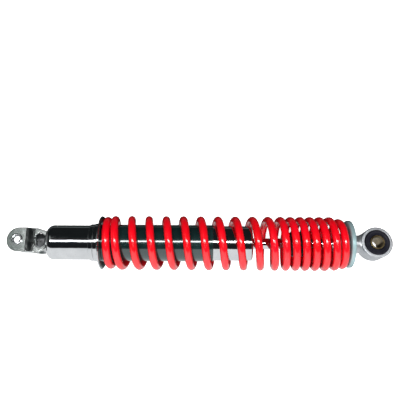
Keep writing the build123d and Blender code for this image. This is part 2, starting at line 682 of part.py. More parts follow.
# Rebound stop on the rod, which meets the guide at full extension
with BuildPart() as rebound_stop:
    with BuildSketch(Plane.YZ.offset(ROD_SHOULDER_X + FIXED_GAP)):
        Circle(REBOUND_STOP_RADIUS)
        Circle(ROD_RADIUS + FIXED_GAP, mode=Mode.SUBTRACT)
    extrude(amount=REBOUND_STOP_END_X - ROD_SHOULDER_X - FIXED_GAP)
rebound_stop.part.label = "rebound_stop"
export_step(rebound_stop.part, "parts/rebound_stop.step")

# Rod guide, spigoted into the inner cylinder and grooved for its O-ring
with BuildPart() as rod_guide:
    guide_section = outline(
        Plane.XY,
        (GUIDE_X, ON_ROD_RADIUS),
        (GUIDE_X, CYLINDER_BORE - FIXED_GAP),
        (CYLINDER_END_X, CYLINDER_BORE - FIXED_GAP),
        (CYLINDER_END_X, GUIDE_RADIUS),
        (GUIDE_GROOVE_X, GUIDE_RADIUS),
        (GUIDE_GROOVE_X, GUIDE_GROOVE_RADIUS),
        (GUIDE_GROOVE_END_X, GUIDE_GROOVE_RADIUS),
        (GUIDE_GROOVE_END_X, GUIDE_RADIUS),
        (GUIDE_END_X, GUIDE_RADIUS),
        (GUIDE_END_X, ON_ROD_RADIUS),
    )
    revolve(guide_section, axis=Axis.X)
rod_guide.part.label = "rod_guide"
export_step(rod_guide.part, "parts/rod_guide.step")

# O-ring in the groove of the guide
with BuildPart() as guide_o_ring:
    with BuildSketch(Plane.XY):
        with Locations(((GUIDE_GROOVE_X + GUIDE_GROOVE_END_X) / 2, (GUIDE_GROOVE_RADIUS + GUIDE_RADIUS) / 2)):
            Circle(O_RING_SECTION_RADIUS)
    revolve(axis=Axis.X)
guide_o_ring.part.label = "guide_o_ring"
export_step(guide_o_ring.part, "parts/guide_o_ring.step")

# Oil seal with its lip on the rod
with BuildPart() as oil_seal:
    seal_section = outline(
        Plane.XY,
        (GUIDE_END_X + FIXED_GAP, 7.0),
        (GUIDE_END_X + FIXED_GAP, GUIDE_RADIUS),
        (SEAL_END_X, GUIDE_RADIUS),
        (SEAL_END_X, 6.4),
        (GUIDE_END_X + 2.4, ON_ROD_RADIUS),
        (GUIDE_END_X + 1.4, ON_ROD_RADIUS),
    )
    revolve(seal_section, axis=Axis.X)
oil_seal.part.label = "oil_seal"
export_step(oil_seal.part, "parts/oil_seal.step")

# Cap under the rolled edge of the tube
with BuildPart() as tube_end_cap:
    with BuildSketch(Plane.YZ.offset(SEAL_END_X)):
        Circle(GUIDE_RADIUS)
        Circle(CAP_BORE, mode=Mode.SUBTRACT)
    extrude(amount=CAP_END_X - SEAL_END_X)
tube_end_cap.part.label = "tube_end_cap"
export_step(tube_end_cap.part, "parts/tube_end_cap.step")

# Dust wiper in the cap, wiping the rod
with BuildPart() as dust_wiper:
    wiper_section = outline(
        Plane.XY,
        (SEAL_END_X + FIXED_GAP, ON_ROD_RADIUS + 0.6),
        (SEAL_END_X + FIXED_GAP, CAP_BORE - FIXED_GAP),
        (CAP_END_X, CAP_BORE - FIXED_GAP),
        (WIPER_END_X, ON_ROD_RADIUS + 0.4),
        (WIPER_END_X, ON_ROD_RADIUS),
        (WIPER_END_X - 0.8, ON_ROD_RADIUS),
    )
    revolve(wiper_section, axis=Axis.X)
dust_wiper.part.label = "dust_wiper"
export_step(dust_wiper.part, "parts/dust_wiper.step")
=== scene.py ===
"""Looks of the rear shock absorber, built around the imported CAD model, in the row frame:
X along the shock from the clevis bolt to the eye, Z along the bolt axis, up.
Shapes are in millimetres, the stage and the lights in metres."""

import math

import bmesh
import bpy
import numpy as np
from mathutils import Matrix, Vector


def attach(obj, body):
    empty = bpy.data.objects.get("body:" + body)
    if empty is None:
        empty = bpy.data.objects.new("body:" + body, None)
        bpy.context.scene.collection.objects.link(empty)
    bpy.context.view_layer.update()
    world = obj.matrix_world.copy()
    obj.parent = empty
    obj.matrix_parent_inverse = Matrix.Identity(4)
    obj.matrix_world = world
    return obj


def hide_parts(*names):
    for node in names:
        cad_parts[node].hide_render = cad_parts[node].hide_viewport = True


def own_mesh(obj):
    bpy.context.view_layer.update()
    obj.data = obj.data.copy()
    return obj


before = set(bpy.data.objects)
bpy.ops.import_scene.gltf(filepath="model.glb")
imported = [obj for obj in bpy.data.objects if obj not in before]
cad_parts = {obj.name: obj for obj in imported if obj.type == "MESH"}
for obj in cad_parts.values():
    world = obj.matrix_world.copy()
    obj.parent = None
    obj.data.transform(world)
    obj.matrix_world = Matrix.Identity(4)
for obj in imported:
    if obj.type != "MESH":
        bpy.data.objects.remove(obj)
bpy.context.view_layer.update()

MM = 0.001
ROUND_STEPS = 160

BODY = "damper_body"
ROD = "rod_assembly"
BUMP = "bump_stop_body"
SLEEVE = "eye_sleeve_body"
EYE_X = 330.0


# ---------------------------------------------------------------- materials


class Shader:
    """A material whose nodes are added one by one."""

    def __init__(self, name, base, metallic=0.0, roughness=0.4):
        self.material = bpy.data.materials.new(name)
        self.material.use_nodes = True
        self.nodes = self.material.node_tree.nodes
        self.links = self.material.node_tree.links
        self.bsdf = self.nodes["Principled BSDF"]
        self.bsdf.inputs["Base Color"].default_value = (*base, 1.0)
        self.bsdf.inputs["Metallic"].default_value = metallic
        self.bsdf.inputs["Roughness"].default_value = roughness
        self.coords = self.nodes.new("ShaderNodeTexCoord")
        self.normal = None

    def set(self, **values):
        for socket, value in values.items():
            self.bsdf.inputs[socket.replace("_", " ")].default_value = value
        return self

    def place(self, scale=(1.0, 1.0, 1.0)):
        """Object coordinates, stretched by scale."""
        mapping = self.nodes.new("ShaderNodeMapping")
        mapping.inputs["Scale"].default_value = scale
        self.links.new(self.coords.outputs["Object"], mapping.inputs["Vector"])
        return mapping.outputs["Vector"]

    def noise(self, scale, detail=4.0, rough=0.55, stretch=(1.0, 1.0, 1.0), distortion=0.0):
        node = self.nodes.new("ShaderNodeTexNoise")
        node.inputs["Scale"].default_value = scale
        node.inputs["Detail"].default_value = detail
        node.inputs["Roughness"].default_value = rough
        node.inputs["Distortion"].default_value = distortion
        self.links.new(self.place(stretch), node.inputs["Vector"])
        return node.outputs["Fac"]

    def spread(self, value, low, high, start=0.3, end=0.7):
        """Maps a 0 to 1 pattern onto low to high."""
        node = self.nodes.new("ShaderNodeMapRange")
        node.inputs["From Min"].default_value = start
        node.inputs["From Max"].default_value = end
        node.inputs["To Min"].default_value = low
        node.inputs["To Max"].default_value = high
        self.links.new(value, node.inputs["Value"])
        return node.outputs["Result"]

    def rough(self, value, low, high, start=0.3, end=0.7):
        self.links.new(self.spread(value, low, high, start, end), self.bsdf.inputs["Roughness"])
        return self

    def colours(self, value, stops):
        """Colour from a pattern through (position, colour) stops."""
        ramp = self.nodes.new("ShaderNodeValToRGB")
        elements = ramp.color_ramp.elements
        while len(elements) < len(stops):
            elements.new(0.5)
        for element, (position, colour) in zip(elements, stops):
            element.position = position
            element.color = (*colour, 1.0)
        self.links.new(value, ramp.inputs["Fac"])
        return ramp.outputs["Color"]

    def base(self, value, stops):
        self.links.new(self.colours(value, stops), self.bsdf.inputs["Base Color"])
        return self

    def bump(self, value, height, strength=1.0):
        """Adds a relief of that height in metres."""
        node = self.nodes.new("ShaderNodeBump")
        node.inputs["Strength"].default_value = strength
        node.inputs["Distance"].default_value = height
        self.links.new(value, node.inputs["Height"])
        if self.normal is not None:
            self.links.new(self.normal, node.inputs["Normal"])
        self.normal = node.outputs["Normal"]
        self.links.new(self.normal, self.bsdf.inputs["Normal"])
        return self


def chrome():
    s = Shader("chrome_plate", (0.80, 0.82, 0.84), 1.0, 0.06)
    wear = s.noise(60, 5, 0.6)
    s.base(wear, [(0.3, (0.74, 0.76, 0.78)), (0.7, (0.86, 0.88, 0.89))])
    s.rough(s.noise(160, 6, 0.7), 0.045, 0.12)
    s.bump(s.noise(90, 3, 0.5), 0.00005, 0.25)
    s.bump(s.noise(2600, 2, 0.5, stretch=(0.04, 1.0, 1.0)), 0.00002, 0.25)
    return s.material


def pressed_chrome():
    s = Shader("chrome_on_pressed_plate", (0.62, 0.65, 0.64), 1.0, 0.12)
    s.base(s.noise(45, 5, 0.6), [(0.3, (0.48, 0.52, 0.51)), (0.7, (0.74, 0.77, 0.76))])
    s.rough(s.noise(220, 6, 0.7), 0.08, 0.22)
    s.bump(s.noise(70, 3, 0.5), 0.0004, 0.35)
    s.bump(s.noise(900, 3, 0.6), 0.00003, 0.3)
    return s.material


def rod_chrome():
    s = Shader("hard_chrome_on_rod", (0.84, 0.85, 0.87), 1.0, 0.05)
    s.base(s.noise(80, 4), [(0.3, (0.80, 0.81, 0.83)), (0.7, (0.88, 0.89, 0.90))])
    s.rough(s.noise(300, 4), 0.04, 0.10)
    s.bump(s.noise(4000, 1, 0.5, stretch=(1.0, 0.05, 0.05)), 0.00001, 0.25)
    return s.material


def red_paint():
    s = Shader("red_gloss_powder_coat", (0.80, 0.0, 0.008), 0.0, 0.5)
    s.base(s.noise(35, 4, 0.5), [(0.3, (0.74, 0.0, 0.005)), (0.7, (0.88, 0.0, 0.012))])
    s.rough(s.noise(500, 4), 0.42, 0.56)
    s.set(Coat_Weight=1.0, Coat_Roughness=0.13, Coat_IOR=1.9, Specular_IOR_Level=0.12)
    s.bump(s.noise(420, 3, 0.5), 0.00005, 0.3)
    s.links.new(s.normal, s.bsdf.inputs["Coat Normal"])
    return s.material


def black_plastic():
    s = Shader("black_gloss_plastic", (0.010, 0.020, 0.020), 0.0, 0.16)
    s.set(Coat_Weight=1.0, Coat_Roughness=0.11, Coat_IOR=1.9, Coat_Tint=(0.75, 1.0, 0.98, 1.0))
    s.base(s.noise(50, 4), [(0.3, (0.004, 0.012, 0.012)), (0.7, (0.012, 0.026, 0.026))])
    s.rough(s.noise(180, 5, 0.65), 0.12, 0.26)
    s.bump(s.noise(60, 3, 0.5, stretch=(0.3, 1.0, 1.0)), 0.0002, 0.3)
    s.bump(s.noise(1800, 2, 0.5, stretch=(0.1, 1.0, 1.0)), 0.00002, 0.3)
    return s.material


def black_rubber():
    s = Shader("moulded_black_rubber", (0.014, 0.015, 0.018), 0.0, 0.55)
    s.base(s.noise(140, 5), [(0.3, (0.005, 0.005, 0.009)), (0.7, (0.013, 0.013, 0.020))])
    s.set(Specular_IOR_Level=0.22)
    s.rough(s.noise(400, 5, 0.7), 0.42, 0.68)
    s.bump(s.noise(1500, 4, 0.6), 0.00006, 0.5)
    return s.material


def bump_rubber():
    s = Shader("bump_stop_rubber", (0.012, 0.020, 0.020), 0.0, 0.3)
    s.base(s.noise(120, 5), [(0.3, (0.008, 0.015, 0.015)), (0.7, (0.02, 0.032, 0.032))])
    s.rough(s.noise(300, 5, 0.7), 0.24, 0.42)
    s.bump(s.noise(900, 4, 0.6), 0.00006, 0.4)
    return s.material


def blue_zinc():
    s = Shader("blue_zinc_plate", (0.40, 0.54, 0.56), 0.35, 0.36)
    s.base(s.noise(70, 5, 0.6), [(0.3, (0.24, 0.38, 0.40)), (0.7, (0.40, 0.52, 0.54))])
    s.rough(s.noise(260, 6, 0.7), 0.28, 0.46)
    s.bump(s.noise(1400, 4, 0.6), 0.00004, 0.35)
    return s.material


def zinc():
    s = Shader("zinc_plate", (0.58, 0.60, 0.62), 1.0, 0.3)
    s.base(s.noise(90, 5, 0.6), [(0.3, (0.46, 0.47, 0.50)), (0.7, (0.68, 0.69, 0.71))])
    s.rough(s.noise(320, 6, 0.7), 0.22, 0.42)
    s.bump(s.noise(1600, 4, 0.6), 0.00004, 0.35)
    return s.material


def yellow_zinc():
    s = Shader("yellow_zinc_with_painted_bore_shade", (0.52, 0.44, 0.30), 1.0, 0.3)
    # Gold is the plating's own colour; the darkening towards near black brown is painted shade standing for
    # the shade inside the eye's bore
    s.base(s.noise(150, 5, 0.6), [(0.3, (0.07, 0.045, 0.02)), (0.7, (0.34, 0.27, 0.14))])
    s.rough(s.noise(360, 6, 0.7), 0.22, 0.45)
    s.bump(s.noise(1600, 4, 0.6), 0.00005, 0.4)
    return s.material


def cast_eye():
    s = Shader("plated_casting", (0.46, 0.48, 0.51), 0.85, 0.38)
    s.base(s.noise(60, 6, 0.65), [(0.3, (0.42, 0.44, 0.47)), (0.7, (0.76, 0.78, 0.81))])
    s.rough(s.noise(260, 6, 0.7), 0.28, 0.52)
    s.bump(s.noise(420, 5, 0.65), 0.00028, 0.4)
    s.bump(s.noise(1500, 4, 0.6), 0.00006, 0.4)
    return s.material


def hidden_steel():
    s = Shader("oiled_steel", (0.45, 0.45, 0.47), 1.0, 0.3)
    s.rough(s.noise(200, 4), 0.22, 0.42)
    return s.material


def paper_floor():
    s = Shader("pale_floor", (0.92, 0.92, 0.92), 0.0, 0.85)
    s.base(s.noise(4, 3), [(0.3, (0.90, 0.90, 0.90)), (0.7, (0.93, 0.93, 0.93))])
    s.set(Emission_Color=(1.0, 1.0, 1.0, 1.0), Emission_Strength=0.9, Specular_IOR_Level=0.0)
    return s.material


MAT = {
    "chrome": chrome(),
    "pressed": pressed_chrome(),
    "rod": rod_chrome(),
    "red": red_paint(),
    "plastic": black_plastic(),
    "rubber": black_rubber(),
    "bump": bump_rubber(),
    "blue": blue_zinc(),
    "zinc": zinc(),
    "yellow": yellow_zinc(),
    "eye": cast_eye(),
    "steel": hidden_steel(),
}


# ---------------------------------------------------------------- shapes


# Points held beside each rounded corner keep a long straight side's shading straight
HOLD = 0.3
HOLD_SHARE = 0.3
MOST_OF_SIDE = 0.49
WELD = 1e-7


def rounded(corners, steps=5):
    """Profile points through (a, b) corners. A third number rounds that corner with an arc."""
    points = []
    count = len(corners)
    for i, corner in enumerate(corners):
        here = Vector(corner[:2])
        if len(corner) == 2:
            points.append(tuple(here))
            continue
        before = Vector(corners[i - 1][:2]) - here
        after = Vector(corners[(i + 1) % count][:2]) - here
        half = before.angle(after) / 2
        reach = min(corner[2] / math.tan(half), before.length * MOST_OF_SIDE, after.length * MOST_OF_SIDE)
        radius = reach * math.tan(half)
        centre = here + (before.normalized() + after.normalized()).normalized() * (radius / math.sin(half))
        start = here + before.normalized() * reach - centre
        end = here + after.normalized() * reach - centre
        turn = math.atan2(start.x * end.y - start.y * end.x, start.dot(end))
        hold = min(HOLD, reach * HOLD_SHARE)
        if before.length > reach + 2 * hold:
            held = here + before.normalized() * (reach + hold)
            points.append((held.x, held.y))
        for k in range(steps + 1):
            angle = turn * k / steps
            c, s = math.cos(angle), math.sin(angle)
            points.append((centre.x + start.x * c - start.y * s, centre.y + start.x * s + start.y * c))
        if after.length > reach + 2 * hold:
            held = here + after.normalized() * (reach + hold)
            points.append((held.x, held.y))
    return points


def finish_mesh(name, bm, material, smooth_angle=32):
    """Makes the object, shaded smooth across edges that turn less than smooth_angle degrees."""
    bmesh.ops.remove_doubles(bm, verts=bm.verts, dist=WELD)
    bmesh.ops.recalc_face_normals(bm, faces=bm.faces)
    for edge in bm.edges:
        edge.smooth = len(edge.link_faces) == 2 and edge.calc_face_angle(0) < math.radians(smooth_angle)
    mesh = bpy.data.meshes.new(name)
    bm.to_mesh(mesh)
    bm.free()
    for polygon in mesh.polygons:
        polygon.use_smooth = True
    mesh.materials.append(material)
    obj = bpy.data.objects.new(name, mesh)
    bpy.context.scene.collection.objects.link(obj)
    return obj


def lathe(name, corners, material, axis="X", steps=None):
    """Turns a closed half section in millimetres. X: corners are (x, radius) about the shock's axis.
    Z: corners are (radius, z) about the eye's axis."""
    steps = steps or ROUND_STEPS
    profile = rounded(corners, 5)
    bm = bmesh.new()
    rings = []
    for k in range(steps):
        angle = 2 * math.pi * k / steps
        c, s = math.cos(angle), math.sin(angle)
        ring = []
        for a, b in profile:
            if axis == "X":
                ring.append(bm.verts.new((a * MM, b * c * MM, b * s * MM)))
            else:
                ring.append(bm.verts.new(((EYE_X + a * c) * MM, a * s * MM, b * MM)))
        rings.append(ring)
    size = len(profile)
    for k in range(steps):
        one, two = rings[k], rings[(k + 1) % steps]
        for i in range(size):
            j = (i + 1) % size
            bm.faces.new((one[i], one[j], two[j], two[i]))
    return finish_mesh(name, bm, material)


def hand_in(obj, body, nodes):
    """Puts a piece on its body, in place of the CAD nodes it stands for."""
    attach(obj, body)
    if nodes:
        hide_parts(*nodes)
    return obj


def hex_nut(name, x0, x1, flats, bore, material, turn=0.0):
    """A hexagon nut along X with its corners turned off at both ends."""
    steps = 48
    half = flats / 2
    corner = half / math.cos(math.pi / 6)
    rise, lip, face_inset, cone_spread = 1.0, 0.05, 0.25, 1.15
    mouth_depth, mouth_width = 0.6, 0.5
    bm = bmesh.new()

    def radius(angle):
        within = (angle - turn) % (math.pi / 3) - math.pi / 6
        return half / math.cos(within)

    levels = [(x0, None), (x0 + lip, 0.0)] + [(x0 + rise * k / 4, k / 4) for k in range(1, 5)]
    levels += [(x1 - rise * k / 4, k / 4) for k in range(4, 0, -1)] + [(x1 - lip, 0.0), (x1, None)]
    rings = []
    for x, share in levels:
        ring = []
        for k in range(steps):
            angle = 2 * math.pi * k / steps + turn
            if share is None:
                r = half - face_inset
            else:
                cone = half + (corner - half) * share * cone_spread
                r = min(radius(angle), cone)
            ring.append(bm.verts.new((x * MM, r * math.cos(angle) * MM, r * math.sin(angle) * MM)))
        rings.append(ring)
    for x in (x1, x1 - mouth_depth, x0 + mouth_depth, x0):
        ring = []
        r = bore + (mouth_width if x in (x0, x1) else 0.0)
        for k in range(steps):
            angle = 2 * math.pi * k / steps + turn
            ring.append(bm.verts.new((x * MM, r * math.cos(angle) * MM, r * math.sin(angle) * MM)))
        rings.append(ring)
    for i, one in enumerate(rings):
        two = rings[(i + 1) % len(rings)]
        for k in range(steps):
            m = (k + 1) % steps
            bm.faces.new((one[k], one[m], two[m], two[k]))
    return finish_mesh(name, bm, material, 24)


# ---------------------------------------------------------------- damper body

TUBE_R = 16.1
TUBE_BORE = 14.15
TUBE_START = 25.0
TUBE_END = 215.6

tube = lathe(
    "tube_shell",
    [
        (TUBE_START, 4.05),
        (TUBE_START, TUBE_R, 8.5),
        (TUBE_END, TUBE_R, 1.6),
        (TUBE_END, 11.6, 0.5),
        (214.05, 11.6),
        (214.05, TUBE_BORE),
        (27.0, TUBE_BORE, 6.0),
        (27.0, 4.05),
    ],
    MAT["chrome"],
)
hand_in(tube, BODY, ["damper_tube"])

ring = lathe(
    "stop_ring",
    [(65.4, 16.15), (65.4, 17.2, 0.8), (69.3, 17.2, 0.8), (69.3, 16.15)],
    MAT["chrome"],
)
hand_in(ring, BODY, ["seat_stop_ring"])

lower_seat = lathe(
    "lower_seat",
    [
        (69.45, 16.2),
        (69.45, 17.8, 1.5),
        (74.0, 17.8, 1.0),
        (75.0, 24.9, 0.8),
        (76.3, 24.9, 0.4),
        (76.3, 16.2),
    ],
    MAT["chrome"],
)
hand_in(lower_seat, BODY, ["lower_spring_seat"])

plastic_sleeve = lathe(
    "plastic_sleeve",
    [
        (76.32, 16.2),
        (76.32, 23.8, 0.3),
        (77.1, 23.8, 0.3),
        (77.1, 16.9, 0.5),
        (179.3, 16.9, 0.4),
        (179.3, 16.2, 0.2),
    ],
    MAT["plastic"],
)
hand_in(plastic_sleeve, BODY, ["spring_sleeve"])

cap = lathe(
    "end_cap",
    [(211.5, 7.3), (211.5, 14.1), (214.0, 14.1), (214.0, 7.3, 0.4)],
    MAT["zinc"],
)
hand_in(cap, BODY, ["tube_end_cap"])

wiper = lathe(
    "wiper_lip",
    [
        (211.55, 5.65),
        (211.55, 7.25),
        (214.0, 7.25),
        (215.4, 5.45, 0.2),
        (215.4, 5.05),
        (214.6, 5.05),
    ],
    MAT["rubber"],
)
hand_in(wiper, BODY, ["dust_wiper"])


TAPPED_R = 3.4
PLAIN_R = 4.25
PLATE_END_X = 26.6
NEAR_HALF_WIDTH = 11.25
FAR_HALF_WIDTH = 7.6
PLATE_ROUND = 0.7
BRIDGE_X = 14.8
BRIDGE_SIZE = (3.0, 17.5, 16.8)
EAR_INNER_Z = 10.35
PLATE = 3.0
STEP_START_X = 7.8
STEP_END_X = 15.0
STEP_DEPTH = 3.15
CUT_START_X = 7.4
CUT_END_X = 15.4
CUTS = 22


def clevis_plate(side):
    """One ear and cheek: a flat outline with its holes, cut across where it will step inward."""
    hole = TAPPED_R if side > 0 else PLAIN_R
    if side > 0:
        edge = [(-9.5, NEAR_HALF_WIDTH, 11.2), (17.5, NEAR_HALF_WIDTH, 10.0), (PLATE_END_X, 8.2)]
    else:
        edge = [(-7.6, FAR_HALF_WIDTH, 7.55), (5.5, FAR_HALF_WIDTH, 10.0), (17.5, 9.9, 10.0)]
        edge.append((PLATE_END_X, 8.08))
    mirrored = [(x, -y, *arc) for x, y, *arc in edge]
    outline = rounded(mirrored + edge[::-1], 14)
    loops = [outline]
    loops.append([(hole * math.cos(a), hole * math.sin(a)) for a in np.linspace(0, 2 * math.pi, 49)[:-1]])
    window = [(14.7, -3.6), (19.9, -7.2), (25.1, -3.6), (25.1, 3.6), (19.9, 7.2), (14.7, 3.6)]
    loops.append(rounded([(*corner, 0.8) for corner in window], 4))
    curve = bpy.data.curves.new("plate_outline", "CURVE")
    curve.dimensions = "2D"
    curve.fill_mode = "BOTH"
    for loop in loops:
        spline = curve.splines.new("POLY")
        spline.points.add(len(loop) - 1)
        for point, place in zip(spline.points, loop):
            point.co = (place[0] * MM, place[1] * MM, 0, 1)
        spline.use_cyclic_u = True
    holder = bpy.data.objects.new("plate_outline", curve)
    bpy.context.scene.collection.objects.link(holder)
    bpy.context.view_layer.update()
    flat = bpy.data.meshes.new_from_object(holder.evaluated_get(bpy.context.evaluated_depsgraph_get()))
    bpy.data.objects.remove(holder)
    bpy.data.curves.remove(curve)
    bm = bmesh.new()
    bm.from_mesh(flat)
    bpy.data.meshes.remove(flat)
    bmesh.ops.remove_doubles(bm, verts=bm.verts, dist=WELD)
    bmesh.ops.dissolve_limit(
        bm, angle_limit=0.01, verts=bm.verts, edges=[e for e in bm.edges if not e.is_boundary]
    )
    for x in np.linspace(CUT_START_X, CUT_END_X, CUTS):
        geometry = bm.verts[:] + bm.edges[:] + bm.faces[:]
        bmesh.ops.bisect_plane(bm, geom=geometry, dist=1e-8, plane_co=(x * MM, 0, 0), plane_no=(1, 0, 0))
    return bm


def step_in(x):
    """How far the plate has stepped inward at x, in millimetres."""
    share = min(max((x - STEP_START_X) / (STEP_END_X - STEP_START_X), 0.0), 1.0)
    return STEP_DEPTH * share * share * (3 - 2 * share)


def build_clevis():
    whole = bmesh.new()
    for side in (1, -1):
        bm = clevis_plate(side)
        bottom = bm.faces[:]
        extruded = bmesh.ops.extrude_face_region(bm, geom=bottom)
        top = [v for v in extruded["geom"] if isinstance(v, bmesh.types.BMVert)]
        top_set = set(top)
        for v in bm.verts:
            z = EAR_INNER_Z - step_in(v.co.x / MM) + (PLATE if v in top_set else 0.0)
            v.co.z = side * z * MM
        mesh = bpy.data.meshes.new("side")
        bm.to_mesh(mesh)
        bm.free()
        whole.from_mesh(mesh)
        bpy.data.meshes.remove(mesh)
    bridge = bmesh.ops.create_cube(whole, size=1.0)
    for v in bridge["verts"]:
        x, y, z = (size * along for size, along in zip(BRIDGE_SIZE, v.co))
        v.co = Vector(((BRIDGE_X + x) * MM, y * MM, z * MM))
    obj = finish_mesh("clevis_plates", whole, MAT["pressed"], 30)
    bevel = obj.modifiers.new("edges", "BEVEL")
    bevel.width = PLATE_ROUND * MM
    bevel.use_clamp_overlap = False
    bevel.segments = 4
    bevel.limit_method = "ANGLE"
    bevel.angle_limit = math.radians(40)
    bevel.harden_normals = True
    return obj


clevis = build_clevis()
hand_in(clevis, BODY, ["clevis"])


def build_collar():
    """The burr round the tapped hole, with its thread inside."""
    outside = [(3.45, 10.4), (3.75, 10.4), (5.25, 13.3), (5.3, 14.85, 0.7), (3.9, 14.85, 0.5), (3.4, 14.2)]
    outside = rounded(outside, 4)
    pitch, middle, depth = 1.25, 3.2, 0.2
    thread_top, thread_end = 14.0, 10.6
    levels = np.arange(thread_top, thread_end, -pitch / 6)
    bm = bmesh.new()
    steps = 64
    rings = []
    for k in range(steps):
        a = 2 * math.pi * k / steps
        inside = [(middle + depth * math.cos(2 * math.pi * z / pitch - a), z) for z in levels]
        profile = outside + inside
        rings.append([bm.verts.new((r * math.cos(a) * MM, r * math.sin(a) * MM, z * MM)) for r, z in profile])
    for k in range(steps):
        one, two = rings[k], rings[(k + 1) % steps]
        for i in range(len(profile)):
            j = (i + 1) % len(profile)
            bm.faces.new((one[i], one[j], two[j], two[i]))
    return finish_mesh("tapped_collar", bm, MAT["chrome"], 50)


collar = build_collar()
hand_in(collar, BODY, [])

lock_nut = hex_nut("lock_nut", 16.3, 23.5, 14.0, 4.05, MAT["zinc"], turn=0.35)
hand_in(lock_nut, BODY, ["clevis_lock_nut"])

stud = lathe(
    "stud_end",
    [(13.3, 0.02), (13.3, 4.0, 0.6), (27.0, 4.0), (27.0, 7.0), (29.0, 7.0, 0.5), (29.0, 0.02)],
    MAT["zinc"],
    steps=64,
)
hand_in(stud, BODY, ["base_stud"])


# ---------------------------------------------------------------- spring

WIRE_R = 3.5
COIL_R = 21.75
SPRING_X = 80.63
COILS = 17.5625
CLOSED_PITCH = 7.05
OPEN_PITCH = 16.1
TIGHT_PITCH = 9.0
LAST_PITCH = 4.8
FIRST_TUCK = 1.0
LAST_TUCK = 2.0


def smooth_step(turn, start, stop):
    """Rises from 0 to 1 between two numbers of turns along the wire."""
    share = min(max((turn - start) / (stop - start), 0.0), 1.0)
    return share * share * (3.0 - 2.0 * share)


def coil_pitch(turn):
    pitch = CLOSED_PITCH
    pitch += (OPEN_PITCH - CLOSED_PITCH) * smooth_step(turn, 0.9, 1.35)
    pitch += (TIGHT_PITCH - OPEN_PITCH) * smooth_step(turn, 8.6, 11.85)
    pitch += (LAST_PITCH - TIGHT_PITCH) * smooth_step(turn, 16.7, 17.65)
    return pitch


def coil_radius(turn):
    radius = COIL_R
    radius -= FIRST_TUCK * (1.0 - smooth_step(turn, 0.3, 1.3))
    radius -= LAST_TUCK * smooth_step(turn, 16.2, 17.3)
    return radius


def build_spring():
    per_turn = 96
    around = 32
    count = round(COILS * per_turn)
    centres = []
    x = SPRING_X
    for k in range(count + 1):
        turn = k / per_turn
        angle = 2 * math.pi * turn
        radius = coil_radius(turn)
        centres.append(Vector((x, radius * math.cos(angle), radius * math.sin(angle))))
        x += coil_pitch(turn + 0.5 / per_turn) / per_turn
    bm = bmesh.new()
    rings = []
    for k, centre in enumerate(centres):
        before = centres[max(k - 1, 0)]
        after = centres[min(k + 1, count)]
        tangent = (after - before).normalized()
        outward = Vector((0, centre.y, centre.z)).normalized()
        side = tangent.cross(outward).normalized()
        outward = side.cross(tangent).normalized()
        ring = []
        for m in range(around):
            a = 2 * math.pi * m / around
            ring.append(bm.verts.new((centre + (outward * math.cos(a) + side * math.sin(a)) * WIRE_R) * MM))
        rings.append(ring)
    for one, two in zip(rings, rings[1:]):
        for m in range(around):
            n = (m + 1) % around
            bm.faces.new((one[m], one[n], two[n], two[m]))
    bm.faces.new(rings[0])
    bm.faces.new(rings[-1])
    return finish_mesh("coil", bm, MAT["red"], 50)


coil = build_spring()
hand_in(coil, BODY, ["spring"])
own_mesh(coil)


# ---------------------------------------------------------------- rod side

rod = lathe(
    "rod_bar",
    [
        (165.5, 0.02),
        (165.5, 3.5, 0.5),
        (186.5, 3.5),
        (186.5, 5.0),
        (317.4, 5.0, 0.6),
        (317.4, 0.02),
    ],
    MAT["rod"],
    steps=96,
)
hand_in(rod, ROD, ["piston_rod"])

bump = lathe(
    "bump_rubber",
    [
        (249.8, 5.05),
        (249.8, 9.5, 1.0),
        (253.2, 12.0, 1.5),
        (258.0, 12.0, 0.8),
        (259.6, 10.2, 0.8),
        (261.2, 12.0, 0.8),
        (268.5, 12.0, 1.6),
        (268.5, 5.05),
    ],
    MAT["bump"],
)
hand_in(bump, BUMP, ["bump_stop"])

rod_nut = hex_nut("rod_nut", 291.8, 301.6, 17.0, 5.05, MAT["zinc"])
hand_in(rod_nut, ROD, ["rod_lock_nut"])

washer = lathe(
    "plain_washer",
    [(301.6, 5.2), (301.6, 10.5, 0.25), (303.2, 10.5, 0.25), (303.2, 5.2)],
    MAT["zinc"],
    steps=96,
)
hand_in(washer, ROD, ["seat_washer"])

upper_seat = lathe(
    "upper_seat",
    [
        (303.22, 5.1),
        (303.22, 22.0, 1.6),
        (307.2, 22.0, 0.5),
        (307.2, 20.4, 0.5),
        (304.8, 20.4, 0.6),
        (304.8, 5.1),
    ],
    MAT["blue"],
)
hand_in(upper_seat, ROD, ["upper_spring_seat"])


BUSH_SEAT_R = 11.65
BARREL_R = 14.4
BARREL_HALF = 9.0


def build_eye():
    """The barrel round the rubber bush, turned about the eye's axis."""
    steps = 240
    bm = bmesh.new()
    lower = [(BUSH_SEAT_R, -BARREL_HALF, 0.3), (BARREL_R, -BARREL_HALF, 0.9)]
    upper = [(BARREL_R, BARREL_HALF, 0.9), (BUSH_SEAT_R, BARREL_HALF, 0.3)]
    profile = rounded(lower + upper, 5)
    rings = []
    for k in range(steps):
        a = 2 * math.pi * k / steps
        c, s = math.cos(a), math.sin(a)
        rings.append([bm.verts.new(((EYE_X + r * c) * MM, r * s * MM, z * MM)) for r, z in profile])
    for k in range(steps):
        one, two = rings[k], rings[(k + 1) % steps]
        for i in range(len(profile)):
            j = (i + 1) % len(profile)
            bm.faces.new((one[i], one[j], two[j], two[i]))
    return finish_mesh("eye_barrel", bm, MAT["eye"], 35)


NECK_X = 304.82
NECK_END_X = 321.4
FLARE_X = 314.4
NECK_R = 8.0
FLARE_HALF_WIDTH = 11.4
FOOT_RISE = 1.4
FOOT_LENGTH = 2.2
FLARE_THINNING = 0.3
ROUND_POWER = 2.0
FLARE_POWER = 4.4


